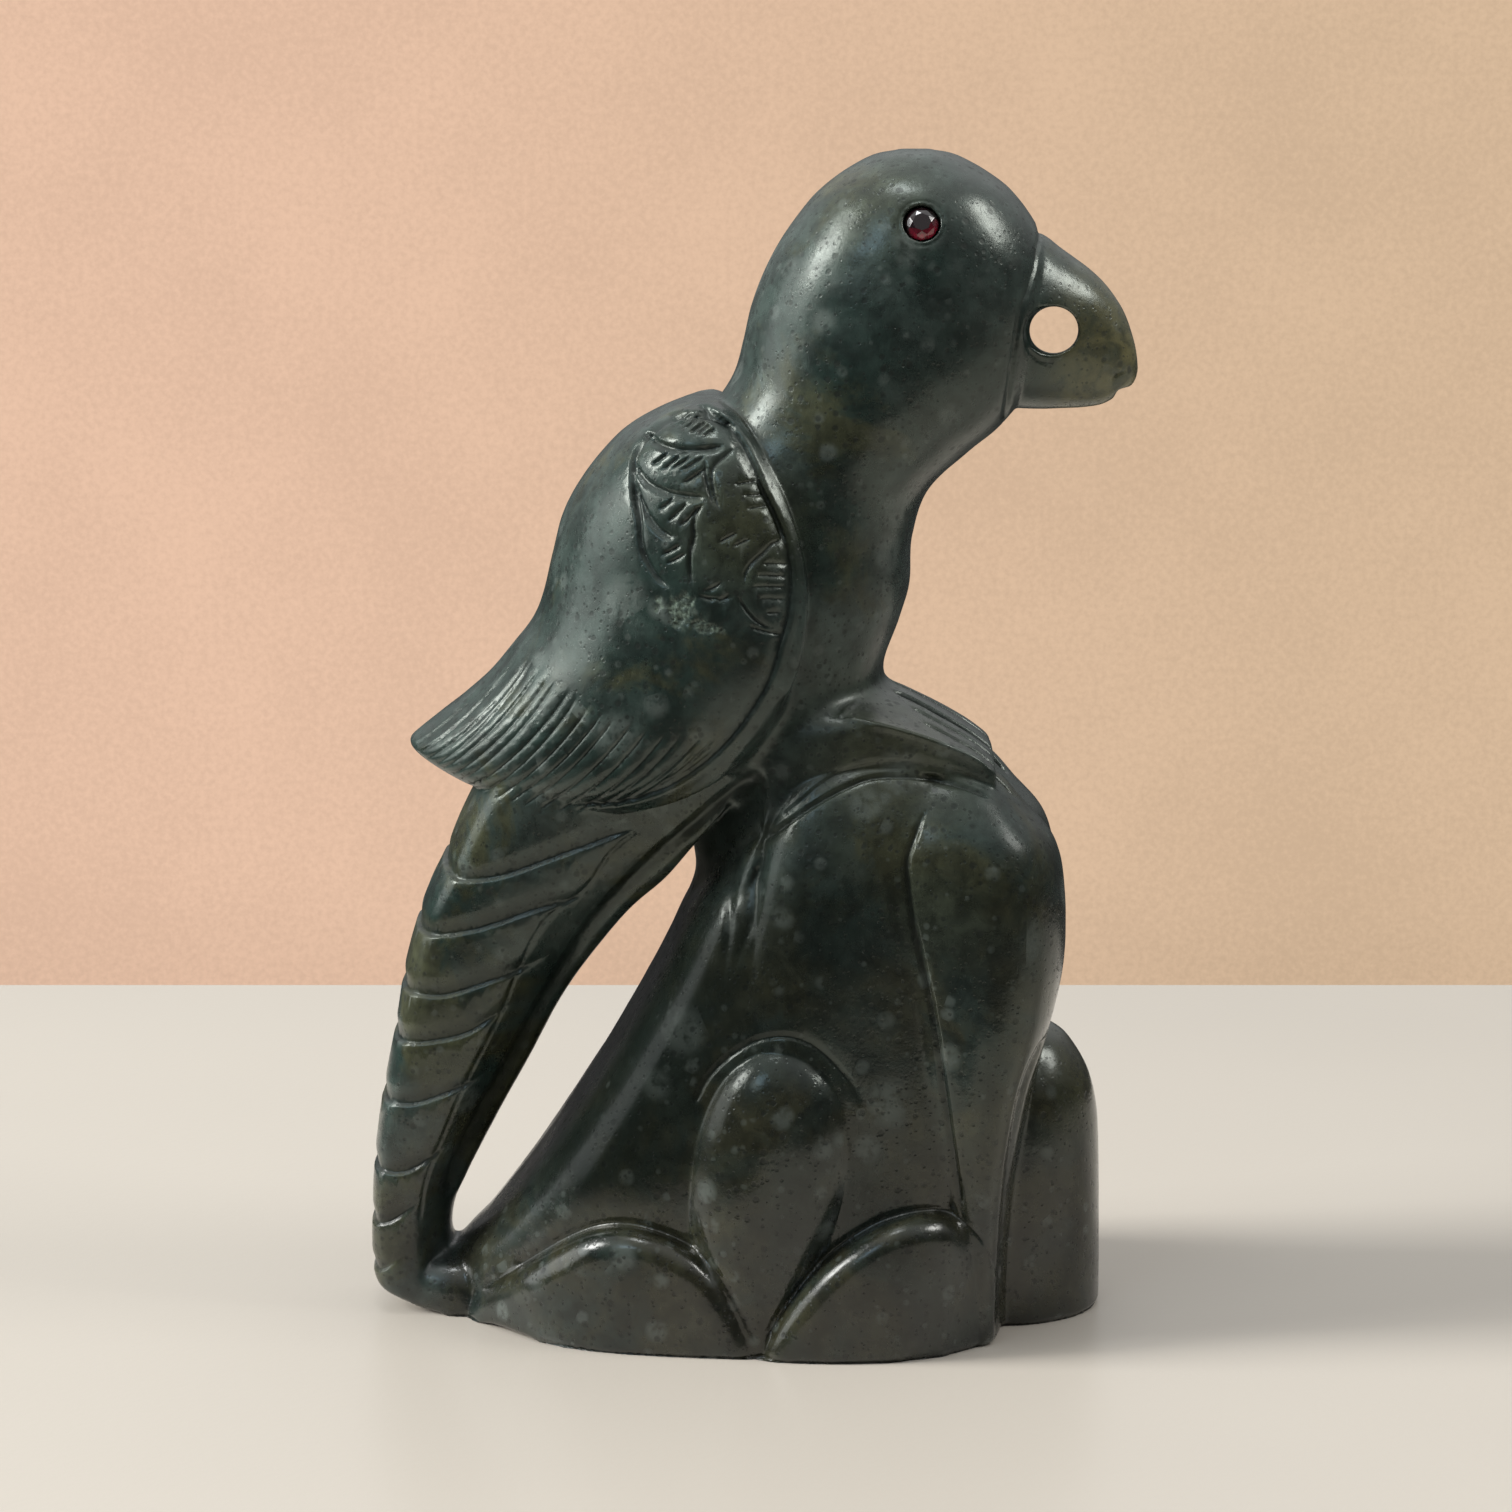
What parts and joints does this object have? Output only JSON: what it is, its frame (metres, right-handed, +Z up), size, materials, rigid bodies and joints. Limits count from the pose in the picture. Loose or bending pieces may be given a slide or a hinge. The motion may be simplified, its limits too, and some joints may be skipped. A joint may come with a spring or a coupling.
{
  "type": "jade bird carving",
  "caption": "Hooked-beaked bird carved in dark green jade, perched upright on a rock of rounded boulders, with folded wings, a long tail that reaches the ground, and red stone eyes.",
  "frame": {"origin": "on the ground, under the middle of the carving's bounding box", "axes": "+X the way that the bird faces, +Y to the bird's left, +Z up"},
  "size_m": [0.1317, 0.0772, 0.2001],
  "materials": {
    "jade": "hand polished, dark grey-green with olive patches and pale specks",
    "red_stone": "faceted and polished, dark red"
  },
  "bodies": {
    "root": {"carving": "jade", "eye_right": "red_stone", "eye_left": "red_stone"}
  },
  "joints": []
}
